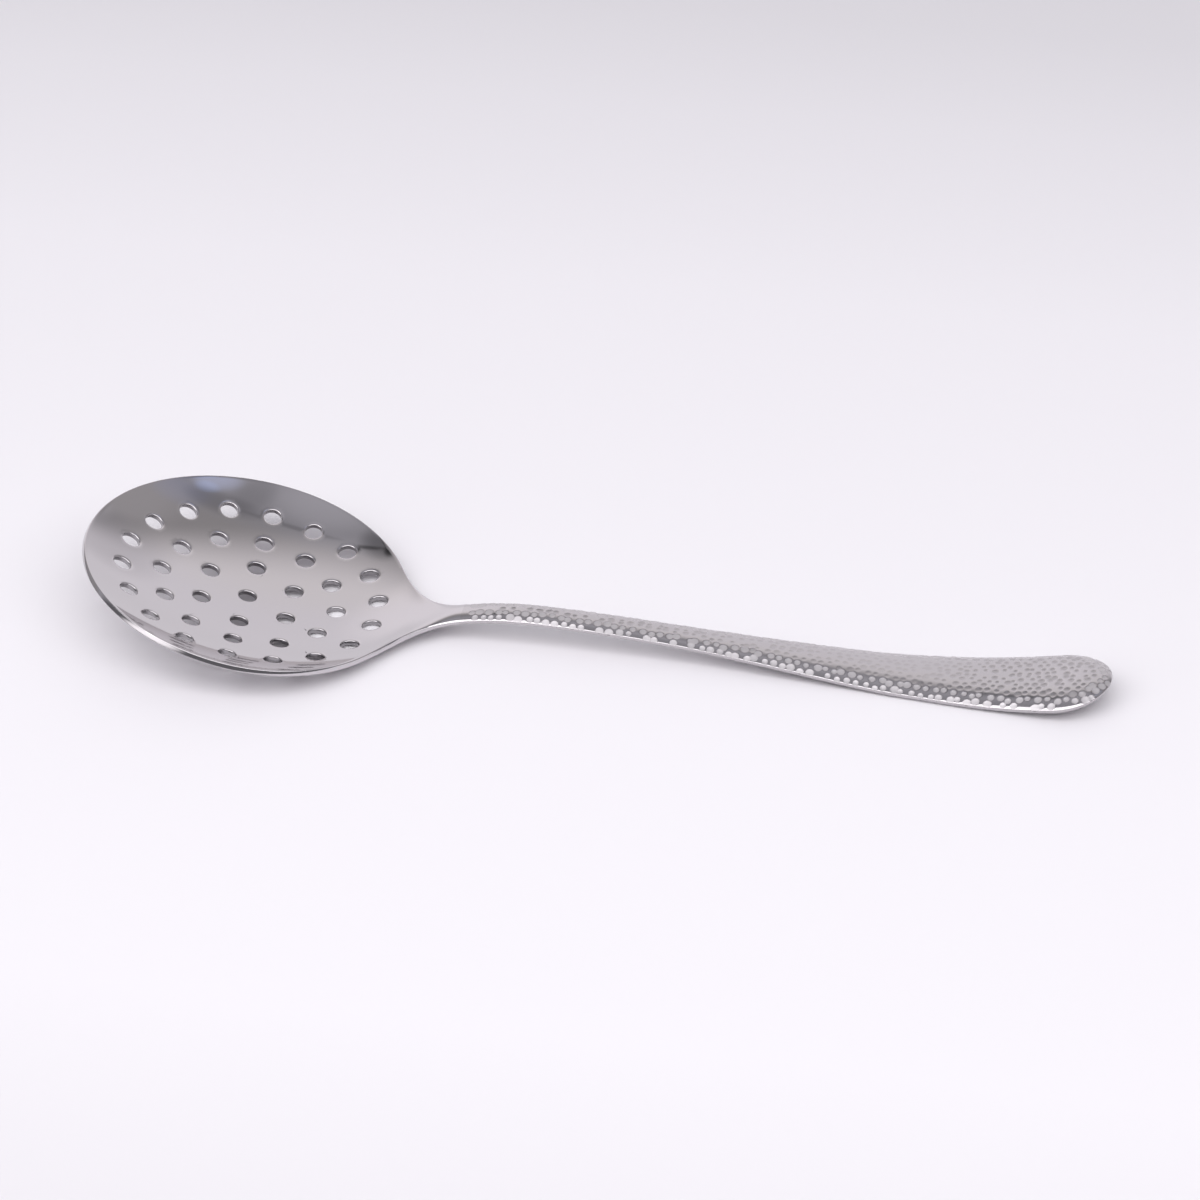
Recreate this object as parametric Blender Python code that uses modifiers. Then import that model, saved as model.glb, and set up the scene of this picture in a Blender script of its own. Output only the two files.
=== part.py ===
"""A perforated steel skimmer: a shallow oval bowl, and a strip handle lapped to the bowl's neck.

Units are metres. The skimmer lies on a table at z = 0, as it rests by itself, with its handle
along +X. "Reach" is the distance along X from the middle of the bowl.
"""
import math

import bmesh
import bpy
from mathutils import Matrix, Vector
from mathutils.geometry import interpolate_bezier

# Bowl
BOWL_RADIUS = 0.0500             # bowl axis to the rim, at the front and at both sides
NECK_SIDE_RADIUS = 0.0466        # bowl axis to the rim on the handle's side
BOWL_DEPTH = 0.0089              # rim above the bottom of the dish
WALL_BIAS = 0.237                # share of the depth that steepens towards the rim
BOWL_TILT = math.radians(13.5)   # rim raised at the front, lowered at the neck
SHEET = 0.0016                   # thickness of the bowl's sheet
RIM_ROUNDING = 0.0004

# Drain holes: one in the middle, and rings of 6, 12 and 18
HOLE_DIAMETER = 0.0053
HOLE_RINGS = 3
HOLES_PER_RING_STEP = 6
FIRST_RING_RADIUS = 0.0147
RING_SPACING = 0.0117
PATTERN_TURN = math.radians(34.8)

# Neck: the rim flares out to the handle in one concave curve on each side
FLARE_START = math.radians(32.0)  # place on the rim where the flare leaves it
FLARE_RIM_PULL = 0.0150
FLARE_NECK_PULL = 0.0120
FLARE_LIFT = 0.0009              # how far the flare's edge bows up from the rim
FLARE_STEP = math.radians(1.0)   # step on the rim that gives its direction at the flare
NECK_REACH = 0.0650              # where the flare ends and the seam lies
NECK_WIDTH = 0.0100
NECK_SLOPE = 0.25                # climb of the neck where it leaves the rim
LAP_LENGTH = 0.0060              # handle's tang under the bowl's tongue
LAP_CLEARANCE = 0.0003

# Handle, seen from above
HANDLE_THICKNESS = 0.0024
EDGE_ROUNDING = 0.0009
SHANK_REACH = 0.1270             # end of the slim shank
SHANK_WIDTH = 0.0115
SHANK_SPREAD = 0.022             # sideways slope of the edge at the end of the shank
SHANK_PULL = 0.02825
PADDLE_REACH = 0.2400            # widest place of the grip
PADDLE_WIDTH = 0.0304
PADDLE_SPREAD = 0.05
PADDLE_PULL = 0.01883
TIP_REACH = 0.2550
ROUND_END = 0.552                # share of a Bezier handle that makes a quarter round

# Handle, seen from the side: heights of the top face above the table
CREST_REACH = 0.0860
CREST_HEIGHT = 0.0098
CREST_PULL_BACK = 0.0180
CREST_PULL_AHEAD = 0.0390
NECK_PULL = 0.0120
REST_REACH = 0.1960              # start of the flat stretch that lies on the table
REST_LENGTH = 0.0125
REST_PULL = 0.0200
TIP_LIFT = 0.0057                # tip's underside above the table
TIP_PULL = 0.0200
TIP_PULL_BACK = 0.0100
TIP_SAG = 0.00285                # how far the tip's handle lies below the tip

# Handle, across: the upper face is domed and the underside is flat
SHANK_CROWN = 0.00072            # middle of the upper face above its edges
PADDLE_CROWN = 0.0018
CROWN_POWER = 2.5

# Steel
SATIN_COLOUR = (0.60, 0.59, 0.60)
SATIN_ROUGHNESS = 0.20
HAMMERED_COLOUR = (0.56, 0.55, 0.56)
HAMMERED_ROUGHNESS = 0.28

# Fineness of the facets
RIM_SEGMENTS = 72
NECK_SEGMENTS = 6                # rim segments on each side that run into the neck
DISH_RINGS = 8
FLARE_ROWS = 9
HOLE_SIDES = 16
CURVE_STEPS = 48
OUTLINE_STEPS = 14
ROUNDING_STEPS = 2
BEND_PITCH = 0.0045
LANE_PITCH = 0.0026              # lengthwise cuts that let the upper face dome
LANES = 5                        # on each side of the middle
SHARP_EDGE = math.radians(35.0)  # steepest bend that still shades smoothly
RIM_EDGE = math.radians(50.0)    # edges steeper than this are rounded
WELD = 1e-6

# Margins
CUT_MARGIN = 0.0030              # by which a cutter passes the piece that it cuts
RIM_MARGIN = 1.001               # by which the dish reaches past its own rim
LEVEL = 0.999                    # upright share of a level face's normal


def remove_everything():
    for item in list(bpy.data.objects):
        bpy.data.objects.remove(item, do_unlink=True)


def make_collection(name):
    collection = bpy.data.collections.new(name)
    bpy.context.scene.collection.children.link(collection)
    return collection


def make_steel(name, colour, roughness):
    steel = bpy.data.materials.new(name)
    steel.use_nodes = True
    shader = steel.node_tree.nodes["Principled BSDF"]
    shader.inputs["Base Color"].default_value = (*colour, 1.0)
    shader.inputs["Metallic"].default_value = 1.0
    shader.inputs["Roughness"].default_value = roughness
    return steel


def make_object(name, bm, collection, parent):
    """Turn a bmesh into a named object under its parent."""
    mesh = bpy.data.meshes.new(name)
    bm.to_mesh(mesh)
    bm.free()
    item = bpy.data.objects.new(name, mesh)
    item.parent = parent
    collection.objects.link(item)
    return item


def make_cutter(name, bm, collection, parent):
    bmesh.ops.recalc_face_normals(bm, faces=bm.faces)
    cutter = make_object(name, bm, collection, parent)
    cutter.hide_render = True
    cutter.display_type = "WIRE"
    return cutter


def cut(item, cutter):
    boolean = item.modifiers.new("cut_" + cutter.name, "BOOLEAN")
    boolean.operation = "DIFFERENCE"
    boolean.solver = "EXACT"
    boolean.object = cutter


def finish(item, steel):
    item.data.materials.append(steel)
    item.data.shade_smooth()
    item.data.set_sharp_from_angle(angle=SHARP_EDGE)


def bezier_run(knots, steps):
    """Points along Bezier knots, each a place with its handle behind and its handle ahead."""
    points = [knots[0][0]]
    for (start, _, ahead), (end, behind, _) in zip(knots, knots[1:]):
        points.extend(interpolate_bezier(start, ahead, behind, end, steps)[1:])
    return points


def read_run(points, reach):
    """Second coordinate, at this reach, of points that run outwards."""
    for near, far in zip(points, points[1:]):
        if reach <= far.x:
            break
    return near.y + (far.y - near.y) * (reach - near.x) / (far.x - near.x)


def ease(share):
    """Smooth step from 0 to 1."""
    share = min(max(share, 0.0), 1.0)
    return share * share * (3.0 - 2.0 * share)


def dome(share):
    """Height of a domed face, from 1 in the middle to 0 at its edge."""
    return 1.0 - min(abs(share), 1.0) ** CROWN_POWER


def dish_radius(x):
    return NECK_SIDE_RADIUS if x > 0.0 else BOWL_RADIUS


def dish_height(x, y):
    """Height of the dish's inner face over its bottom, in the bowl's own frame."""
    share = (x / dish_radius(x)) ** 2 + (y / BOWL_RADIUS) ** 2
    return BOWL_DEPTH * ((1.0 - WALL_BIAS) * share + WALL_BIAS * share ** 2)


def dish_normal(x, y):
    share = (x / dish_radius(x)) ** 2 + (y / BOWL_RADIUS) ** 2
    steepness = 2.0 * BOWL_DEPTH * (1.0 - WALL_BIAS + 2.0 * WALL_BIAS * share)
    return Vector((-steepness * x / dish_radius(x) ** 2, -steepness * y / BOWL_RADIUS ** 2, 1.0)).normalized()


def bowl_placement():
    """Tilt the bowl, and lift it until the lowest point of its underside meets the table."""
    tilt = Matrix.Rotation(BOWL_TILT, 4, "Y")
    lowest = 0.0
    for step in range(CURVE_STEPS + 1):
        x = NECK_SIDE_RADIUS * step / CURVE_STEPS
        underside = Vector((x, 0.0, dish_height(x, 0.0))) - SHEET * dish_normal(x, 0.0)
        lowest = min(lowest, (tilt @ underside).z)
    return Matrix.Translation((0.0, 0.0, -lowest)) @ tilt


def rim_point(angle):
    """A point of the rim's inner edge on the table's frame."""
    x = (NECK_SIDE_RADIUS if math.cos(angle) > 0.0 else BOWL_RADIUS) * math.cos(angle)
    return bowl_placement() @ Vector((x, BOWL_RADIUS * math.sin(angle), BOWL_DEPTH))


def side_curve():
    """Top face of the neck and the handle, as reach and height."""
    root = rim_point(0.0)
    rest_height = HANDLE_THICKNESS
    rest_end = REST_REACH + REST_LENGTH
    neck_ahead = Vector((root.x + NECK_PULL, root.z + NECK_PULL * NECK_SLOPE))
    knots = [
        (Vector((root.x, root.z)), None, neck_ahead),
        (Vector((CREST_REACH, CREST_HEIGHT)), Vector((CREST_REACH - CREST_PULL_BACK, CREST_HEIGHT)),
         Vector((CREST_REACH + CREST_PULL_AHEAD, CREST_HEIGHT))),
        (Vector((REST_REACH, rest_height)), Vector((REST_REACH - REST_PULL, rest_height)),
         Vector((REST_REACH + REST_LENGTH / 3.0, rest_height))),
        (Vector((rest_end, rest_height)), Vector((rest_end - REST_LENGTH / 3.0, rest_height)),
         Vector((rest_end + TIP_PULL, rest_height))),
        (Vector((TIP_REACH, rest_height + TIP_LIFT)),
         Vector((TIP_REACH - TIP_PULL_BACK, rest_height + TIP_LIFT - TIP_SAG)), None),
    ]
    return bezier_run(knots, CURVE_STEPS)


def flare_knots(curve):
    """Edge of the neck in space, from the rim to the seam."""
    start = rim_point(FLARE_START)
    along_rim = (rim_point(FLARE_START - FLARE_STEP) - start).normalized()
    seam = Vector((NECK_REACH, NECK_WIDTH / 2.0, read_run(curve, NECK_REACH)))
    climb = read_run(curve, NECK_REACH) - read_run(curve, NECK_REACH - LAP_LENGTH)
    along_neck = Vector((LAP_LENGTH, 0.0, climb)).normalized()
    return [
        (start, None, start + FLARE_RIM_PULL * along_rim + Vector((0.0, 0.0, FLARE_LIFT))),
        (seam, seam - FLARE_NECK_PULL * along_neck, None),
    ]


def handle_edge_knots():
    """Edge of the handle, as reach and half width, from the seam to the tip."""
    seam = Vector((NECK_REACH, NECK_WIDTH / 2.0))
    shank = Vector((SHANK_REACH, SHANK_WIDTH / 2.0))
    paddle = Vector((PADDLE_REACH, PADDLE_WIDTH / 2.0))
    shank_pull = SHANK_PULL * Vector((1.0, SHANK_SPREAD))
    paddle_pull = PADDLE_PULL * Vector((1.0, PADDLE_SPREAD))
    end_length = TIP_REACH - PADDLE_REACH
    tip = Vector((TIP_REACH, 0.0))
    return [
        (seam, None, seam + Vector((FLARE_NECK_PULL, 0.0))),
        (shank, shank - shank_pull, shank + shank_pull),
        (paddle, paddle - paddle_pull, paddle + Vector((ROUND_END * end_length, 0.0))),
        (tip, tip + Vector((0.0, ROUND_END * paddle.y)), None),
    ]


def crown_handle(bm):
    """Dome the upper half of the flat blank, along its sides and round its end."""
    edge = bezier_run(handle_edge_knots(), OUTLINE_STEPS)
    for vert in (vert for vert in bm.verts if vert.co.z > 0.0):
        reach, aside, _ = vert.co
        grown = ease((reach - SHANK_REACH) / (REST_REACH - SHANK_REACH))
        crown = SHANK_CROWN + (PADDLE_CROWN - SHANK_CROWN) * grown
        half_width = read_run(edge, min(max(reach, NECK_REACH), PADDLE_REACH))
        into_end = max(reach - PADDLE_REACH, 0.0) / (TIP_REACH - PADDLE_REACH)
        vert.co.z += crown * dome(math.hypot(into_end, aside / half_width))


def bend(bm, curve):
    """Set a flat blank, with its middle at z = 0, along the side curve."""
    for vert in bm.verts:
        vert.co.z += read_run(curve, vert.co.x) - HANDLE_THICKNESS / 2.0


def slice_across(bm, start, end):
    """Cut a flat blank across at a steady pitch, so that it can bend, but not where it rests."""
    count = math.ceil((end - start) / BEND_PITCH)
    rest_end = REST_REACH + REST_LENGTH
    cuts = [start + (end - start) * step / count for step in range(1, count)]
    cuts = [reach for reach in cuts if not REST_REACH < reach < rest_end]
    for reach in sorted(cuts + [REST_REACH, rest_end]):
        bmesh.ops.bisect_plane(bm, geom=bm.verts[:] + bm.edges[:] + bm.faces[:],
                               plane_co=(reach, 0.0, 0.0), plane_no=(1.0, 0.0, 0.0))


def slice_upper_face(bm, place, direction):
    bm.normal_update()
    faces = [face for face in bm.faces if face.normal.z > LEVEL]
    edges = dict.fromkeys(edge for face in faces for edge in face.edges)
    verts = dict.fromkeys(vert for face in faces for vert in face.verts)
    bmesh.ops.bisect_plane(bm, geom=[*faces, *edges, *verts], plane_co=place, plane_no=direction)


def slice_lengthwise(bm):
    """Cut the upper face of a flat blank into lanes, and where it rests also across."""
    for lane in range(-LANES, LANES + 1):
        slice_upper_face(bm, (0.0, lane * LANE_PITCH, 0.0), (0.0, 1.0, 0.0))
    for step in range(1, math.ceil(REST_LENGTH / BEND_PITCH)):
        slice_upper_face(bm, (REST_REACH + step * BEND_PITCH, 0.0, 0.0), (1.0, 0.0, 0.0))


def spin_dish():
    """The dish as an open surface, with even rim segments on both sides of the neck."""
    bm = bmesh.new()
    profile = [bm.verts.new((step / DISH_RINGS, 0.0, 0.0)) for step in range(DISH_RINGS + 1)]
    lines = [bm.edges.new(pair) for pair in zip(profile, profile[1:])]
    bmesh.ops.spin(bm, geom=profile + lines, cent=(0.0, 0.0, 0.0), axis=(0.0, 0.0, 1.0),
                   angle=math.tau, steps=RIM_SEGMENTS, use_merge=True)
    bmesh.ops.remove_doubles(bm, verts=bm.verts, dist=WELD)
    neck_half = NECK_SEGMENTS * math.tau / RIM_SEGMENTS
    for vert in bm.verts:
        share = vert.co.xy.length
        angle = math.atan2(vert.co.y, vert.co.x)
        if abs(angle) <= neck_half:
            turned = angle * FLARE_START / neck_half
        else:
            rest_of_rim = (abs(angle) - neck_half) / (math.pi - neck_half)
            turned = math.copysign(FLARE_START + rest_of_rim * (math.pi - FLARE_START), angle)
        x = share * math.cos(turned)
        x *= dish_radius(x)
        y = share * math.sin(turned) * BOWL_RADIUS
        vert.co = (x, y, dish_height(x, y))
    return bm


def draw_out_neck(bm, curve):
    """Extrude the rim between the two flares, row by row, past the seam."""
    placement = bowl_placement()
    to_bowl = placement.inverted()
    corner = rim_point(FLARE_START)
    root = rim_point(0.0)
    past_seam = NECK_REACH + CUT_MARGIN
    edge_run = bezier_run(flare_knots(curve), FLARE_ROWS + 1)[1:]
    edge_run.append(Vector((past_seam, NECK_WIDTH / 2.0, read_run(curve, past_seam))))
    on_corner = corner.x - RIM_ROUNDING
    row = [edge for edge in bm.edges
           if edge.is_boundary and all((placement @ vert.co).x > on_corner for vert in edge.verts)]
    for edge_point in edge_run:
        drawn = bmesh.ops.extrude_edge_only(bm, edges=row)["geom"]
        row = [part for part in drawn if isinstance(part, bmesh.types.BMEdge)]
        along = (edge_point.x - corner.x) / (NECK_REACH - corner.x)
        middle = root.x + (NECK_REACH - root.x) * along
        widest = max(abs(vert.co.y) for edge in row for vert in edge.verts)
        for vert in (part for part in drawn if isinstance(part, bmesh.types.BMVert)):
            aside = vert.co.y / widest
            reach = middle + (edge_point.x - middle) * aside ** 2
            sag = read_run(curve, middle) - edge_point.z
            crown = SHANK_CROWN * ease(along) * dome(aside)
            height = edge_point.z + sag * (1.0 - aside ** 2) + crown
            vert.co = to_bowl @ Vector((reach, aside * edge_point.y, height))


def face_upwards(bm):
    """Turn an open surface's faces so that its thickness grows downwards."""
    bmesh.ops.recalc_face_normals(bm, faces=bm.faces)
    if sum(face.normal.z for face in bm.faces) < 0.0:
        bmesh.ops.reverse_faces(bm, faces=bm.faces)


def thicken_bowl(bowl):
    """Give the sheet its thickness downwards, growing along the neck to the handle's thickness."""
    thickest = max(SHEET, HANDLE_THICKNESS)
    group = bowl.vertex_groups.new(name="thickness")
    placement = bowl_placement()
    corner = rim_point(FLARE_START)
    root = rim_point(0.0)
    for vert in bowl.data.vertices:
        reach = (placement @ vert.co).x
        on_sheet = dish_height(vert.co.x, vert.co.y) < BOWL_DEPTH * RIM_MARGIN and reach <= root.x
        grown = 0.0 if on_sheet else (reach - corner.x) / (NECK_REACH - corner.x)
        thickness = SHEET + (HANDLE_THICKNESS - SHEET) * min(max(grown, 0.0), 1.0)
        group.add([vert.index], thickness / thickest, "REPLACE")
    solidify = bowl.modifiers.new("sheet", "SOLIDIFY")
    solidify.thickness = thickest
    solidify.offset = -1.0
    solidify.vertex_group = group.name
    rounding = bowl.modifiers.new("rounded_rim", "BEVEL")
    rounding.width = RIM_ROUNDING
    rounding.segments = ROUNDING_STEPS
    rounding.limit_method = "ANGLE"
    rounding.angle_limit = RIM_EDGE


def punch_places():
    """Each drain hole's place on the dish, in the bowl's own frame."""
    places = [(0.0, 0.0)]
    for ring in range(1, HOLE_RINGS + 1):
        radius = FIRST_RING_RADIUS + RING_SPACING * (ring - 1)
        count = HOLES_PER_RING_STEP * ring
        for index in range(count):
            angle = PATTERN_TURN + math.tau * index / count
            places.append((radius * math.cos(angle), radius * math.sin(angle)))
    return places


def make_punches(cutters, bowl):
    bm = bmesh.new()
    for x, y in punch_places():
        square_to_sheet = Vector((0.0, 0.0, 1.0)).rotation_difference(dish_normal(x, y)).to_matrix().to_4x4()
        place = Matrix.Translation((x, y, dish_height(x, y))) @ square_to_sheet
        bmesh.ops.create_cone(bm, cap_ends=True, segments=HOLE_SIDES, radius1=HOLE_DIAMETER / 2.0,
                              radius2=HOLE_DIAMETER / 2.0, depth=2.0 * (SHEET + CUT_MARGIN), matrix=place)
    return make_cutter("drain_punches", bm, cutters, bowl)


def make_bent_block(name, span, half_width, heights, curve, cutters, parent):
    """A cutter between two reaches and two heights over the handle's middle, bent as the handle is."""
    bm = bmesh.new()
    size = (span[1] - span[0], 2.0 * half_width, heights[1] - heights[0])
    middle = (sum(span) / 2.0, 0.0, sum(heights) / 2.0)
    bmesh.ops.create_cube(bm, size=1.0, matrix=Matrix.LocRotScale(middle, None, size))
    slice_across(bm, span[0], span[1])
    bend(bm, curve)
    return make_cutter(name, bm, cutters, parent)


def make_bowl(parts, cutters, frame, curve):
    bm = spin_dish()
    draw_out_neck(bm, curve)
    face_upwards(bm)
    bowl = make_object("bowl", bm, parts, frame)
    bowl.matrix_local = bowl_placement()
    thicken_bowl(bowl)
    cut(bowl, make_punches(cutters, bowl))
    seam_trim = (NECK_REACH, NECK_REACH + 2.0 * CUT_MARGIN)
    under_tongue = (NECK_REACH - LAP_LENGTH, NECK_REACH + 2.0 * CUT_MARGIN)
    cut_depth = HANDLE_THICKNESS + CUT_MARGIN
    cut(bowl, make_bent_block("tongue_end", seam_trim, NECK_WIDTH, (-cut_depth, cut_depth), curve,
                              cutters, frame))
    cut(bowl, make_bent_block("tongue_rebate", under_tongue, 2.0 * NECK_WIDTH,
                              (-cut_depth, LAP_CLEARANCE / 2.0), curve, cutters, frame))
    finish(bowl, make_steel("satin_steel", SATIN_COLOUR, SATIN_ROUGHNESS))


def handle_outline(curve):
    """Closed outline of the handle's blank, from the tang round the tip and back."""
    tang_reach = NECK_REACH - LAP_LENGTH + LAP_CLEARANCE
    flare = bezier_run(flare_knots(curve), OUTLINE_STEPS)
    tang = [Vector((tang_reach, read_run(flare, tang_reach)))]
    tang += [point.to_2d() for point in flare if tang_reach < point.x < NECK_REACH]
    side = tang + bezier_run(handle_edge_knots(), OUTLINE_STEPS)
    other_side = [Vector((point.x, -point.y)) for point in reversed(side[:-1])]
    return side + other_side


def make_blank(curve):
    """The handle's flat blank, with rounded edges, as a filled outline."""
    outline = bpy.data.curves.new("handle_blank", "CURVE")
    outline.dimensions = "2D"
    outline.fill_mode = "BOTH"
    outline.extrude = HANDLE_THICKNESS / 2.0 - EDGE_ROUNDING
    outline.bevel_depth = EDGE_ROUNDING
    outline.bevel_resolution = ROUNDING_STEPS
    outline.offset = -EDGE_ROUNDING
    points = handle_outline(curve)
    spline = outline.splines.new("POLY")
    spline.points.add(len(points) - 1)
    for spline_point, point in zip(spline.points, points):
        spline_point.co = (point.x, point.y, 0.0, 1.0)
    spline.use_cyclic_u = True
    blank = bpy.data.objects.new("handle_blank", outline)
    bpy.context.scene.collection.objects.link(blank)
    evaluated = blank.evaluated_get(bpy.context.evaluated_depsgraph_get())
    mesh = bpy.data.meshes.new_from_object(evaluated)
    bm = bmesh.new()
    bm.from_mesh(mesh)
    bpy.data.objects.remove(blank, do_unlink=True)
    bpy.data.meshes.remove(mesh)
    bmesh.ops.remove_doubles(bm, verts=bm.verts, dist=WELD)
    caps = [face for face in bm.faces if abs(face.normal.z) > LEVEL]
    inside = {edge for face in caps for edge in face.edges}
    inside = [edge for edge in inside if all(face in caps for face in edge.link_faces)]
    bmesh.ops.dissolve_edges(bm, edges=inside, use_verts=False)
    return bm


def make_handle(parts, cutters, frame, curve):
    bm = make_blank(curve)
    tang_reach = NECK_REACH - LAP_LENGTH
    slice_across(bm, tang_reach, TIP_REACH)
    slice_lengthwise(bm)
    crown_handle(bm)
    bend(bm, curve)
    bmesh.ops.recalc_face_normals(bm, faces=bm.faces)
    handle = make_object("handle", bm, parts, frame)
    over_tang = (tang_reach - CUT_MARGIN, NECK_REACH + LAP_CLEARANCE)
    cut_height = HANDLE_THICKNESS + CUT_MARGIN
    cut(handle, make_bent_block("tang_rebate", over_tang, 2.0 * NECK_WIDTH,
                                (-LAP_CLEARANCE / 2.0, cut_height), curve, cutters, frame))
    finish(handle, make_steel("hammered_steel", HAMMERED_COLOUR, HAMMERED_ROUGHNESS))


def main():
    remove_everything()
    parts = make_collection("skimmer")
    cutters = make_collection("skimmer_cutters")
    frame = bpy.data.objects.new("skimmer_frame", None)
    front_reach = rim_point(math.pi).x
    frame.location.x = -(TIP_REACH + front_reach) / 2.0
    parts.objects.link(frame)
    curve = side_curve()
    make_bowl(parts, cutters, frame, curve)
    make_handle(parts, cutters, frame, curve)


main()
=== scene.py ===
"""Looks of a perforated steel skimmer: a satin dish with drain holes and a hammered strip handle.

Units are metres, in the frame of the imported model: the table is z = 0 and the handle runs along +X.
"Reach" is the distance along X from the middle of the bowl, and a "pull" is the length of a curve's
handle at one of its knots. Each piece is made as a flat blank with its holes and rounded edges, and is
then pressed or bent to its shape.
"""
import math
import random
from bisect import bisect
from itertools import product

import bmesh
import bpy
from mathutils import Matrix, Vector
from mathutils.geometry import interpolate_bezier
from mathutils.kdtree import KDTree


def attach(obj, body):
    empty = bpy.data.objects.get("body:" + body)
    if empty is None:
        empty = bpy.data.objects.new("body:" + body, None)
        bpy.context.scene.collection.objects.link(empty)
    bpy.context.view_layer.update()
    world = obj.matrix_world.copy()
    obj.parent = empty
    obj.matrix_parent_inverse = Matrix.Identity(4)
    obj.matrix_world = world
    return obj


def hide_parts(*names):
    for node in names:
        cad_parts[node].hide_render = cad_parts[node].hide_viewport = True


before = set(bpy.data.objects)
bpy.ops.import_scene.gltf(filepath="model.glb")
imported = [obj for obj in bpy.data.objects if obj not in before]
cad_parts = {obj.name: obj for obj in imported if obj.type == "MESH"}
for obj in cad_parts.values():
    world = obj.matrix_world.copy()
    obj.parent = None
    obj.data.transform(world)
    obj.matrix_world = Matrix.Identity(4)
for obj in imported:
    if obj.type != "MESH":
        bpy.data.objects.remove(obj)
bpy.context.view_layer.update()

BOWL_MIDDLE_X = -0.10423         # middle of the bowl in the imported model's frame

# Bowl
BOWL_RADIUS = 0.0500
NECK_SIDE_RADIUS = 0.0466        # shorter half of the slightly oval rim
BOWL_DEPTH = 0.0089
WALL_BIAS = 0.237                # share of the depth that steepens towards the rim
BOWL_TILT = math.radians(13.5)
SHEET = 0.0016
RIM_CORNER = 0.00026             # rounding of both edges of the cut rim

# Drain holes
HOLE_RADIUS = 0.00265
HOLE_RINGS = 3
HOLES_PER_RING_STEP = 6
FIRST_RING_RADIUS = 0.0147
RING_SPACING = 0.0117
PATTERN_TURN = math.radians(34.8)
HOLE_COLLAR = 0.0015             # width of the cells that are cleared round a hole
HOLES_END = FIRST_RING_RADIUS + RING_SPACING * (HOLE_RINGS - 1) + HOLE_RADIUS + HOLE_COLLAR
HOLE_ROLL = 0.00045              # width of the sheet that the punch draws down
HOLE_ROLL_RINGS = (1.0, 0.5, 0.0)  # shares of that width at which its rings lie
HOLE_ROLL_DROP = 0.00007
HOLE_LEAN = math.atan(2.0 * HOLE_ROLL_DROP / HOLE_ROLL)
HOLE_LIP = 0.00036               # rounding of the hole's upper edge
HOLE_LIP_RUN = HOLE_LIP * (1.0 - math.sin(HOLE_LEAN))
PUNCHED_FROM = 0.75              # share of the lip's rounding below which the wall looks punched

# Neck
FLARE_START = math.radians(32.0)  # angle round the bowl where the rim leaves the oval
FLARE_RIM_PULL = 0.0150
FLARE_NECK_PULL = 0.0120
FLARE_LIFT = 0.0009
NECK_REACH = 0.0650              # seam between the bowl and the handle
NECK_WIDTH = 0.0100
NECK_SLOPE = 0.25
NECK_STEP = 0.0060               # stretch that gives the neck's direction at the seam
NECK_BLEND = 0.0105              # length over which the dish runs into the neck
CROWN_START = 0.0440             # place on the neck where its upper face begins to dome

# Handle, seen from above
HANDLE_THICKNESS = 0.0024
SHANK_REACH = 0.1270
SHANK_WIDTH = 0.0115
SHANK_SPREAD = 0.022             # slope of the edge, as the paddle's
SHANK_PULL = 0.02825
PADDLE_REACH = 0.2400
PADDLE_WIDTH = 0.0304
PADDLE_SPREAD = 0.05
PADDLE_PULL = 0.01883
TIP_REACH = 0.2550

# Handle, seen from the side
CREST_REACH = 0.0860
CREST_HEIGHT = 0.0098
CREST_PULL_BACK = 0.0180
CREST_PULL_AHEAD = 0.0390
NECK_PULL = 0.0120
REST_REACH = 0.1960
REST_LENGTH = 0.0125
REST_PULL = 0.0200
TIP_LIFT = 0.0057
TIP_PULL = 0.0200
TIP_PULL_BACK = 0.0100
TIP_SAG = 0.00285

# Handle, across: a domed upper face, a soft shoulder, a small corner, a wall and a round lower edge
NECK_CROWN = 0.0008
SHANK_CROWN = 0.0013
PADDLE_CROWN = 0.0023
CROWN_POWERS = [(0.065, 2.8), (0.200, 2.8), (0.228, 4.5)]  # by reach; a high one flattens the middle
SHOULDER_RADII = [(0.065, 0.0016), (0.088, 0.0016), (0.105, 0.0005), (0.200, 0.0005), (0.228, 0.0020)]
SHOULDER_END = math.radians(58.0)  # slope at the shoulder's outer edge
SHOULDER_DROP = 0.0007           # shoulder's outer edge below the side line
EDGE_CORNER = 0.00025
UNDER_RISE = 0.0013              # height and width of the rounding between the wall and the underside
UNDER_RUN = 0.0022

# Hammering
EDGE_DENT_RADIUS = 0.00116
EDGE_DENT = 0.00018              # depth of the dents along the edges
EDGE_BAND = 0.0050               # distance from the edge within which the dents deepen
EDGE_BAND_FADE = 0.0018
MIDDLE_DENT_RADIUS = 0.00096
MIDDLE_DENTS = [                 # depth of the dents away from the edges, by reach
    (0.065, 0.00020), (0.095, 0.00018), (0.130, 0.00012),
    (0.170, 0.00008), (0.202, 0.00007), (0.222, 0.00019),
]
DEEPEST_MIDDLE_DENT = max(depth for _, depth in MIDDLE_DENTS)
MIDDLE_DULL_AND_PAINTED_SHADE = 0.5                # how dull the deepest dents' floors are away from the edges; also where their painted shade sits on the colour ramp
DENT_RADIUS_SPREAD = 0.00026
DENT_RIM = 0.2                   # share of the radius over which a dent's dull floor, with its painted light, begins
DENT_PITCH = 0.0027
DENT_ROW_PITCH = 0.0022
DENT_STAGGER = 0.5               # shift of every second row, as a share of the pitch
EDGE_ROW = 0.0007                # distance of the outermost row from the shoulder's outer edge
DENT_JITTER = 0.00034
DENT_START = 0.0664
DENT_EDGE_MARGIN = 0.0002
HAMMERED_LEAN = -0.1             # least upward part of the normals that the hammer reaches
HAMMER_SEED = 7

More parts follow.
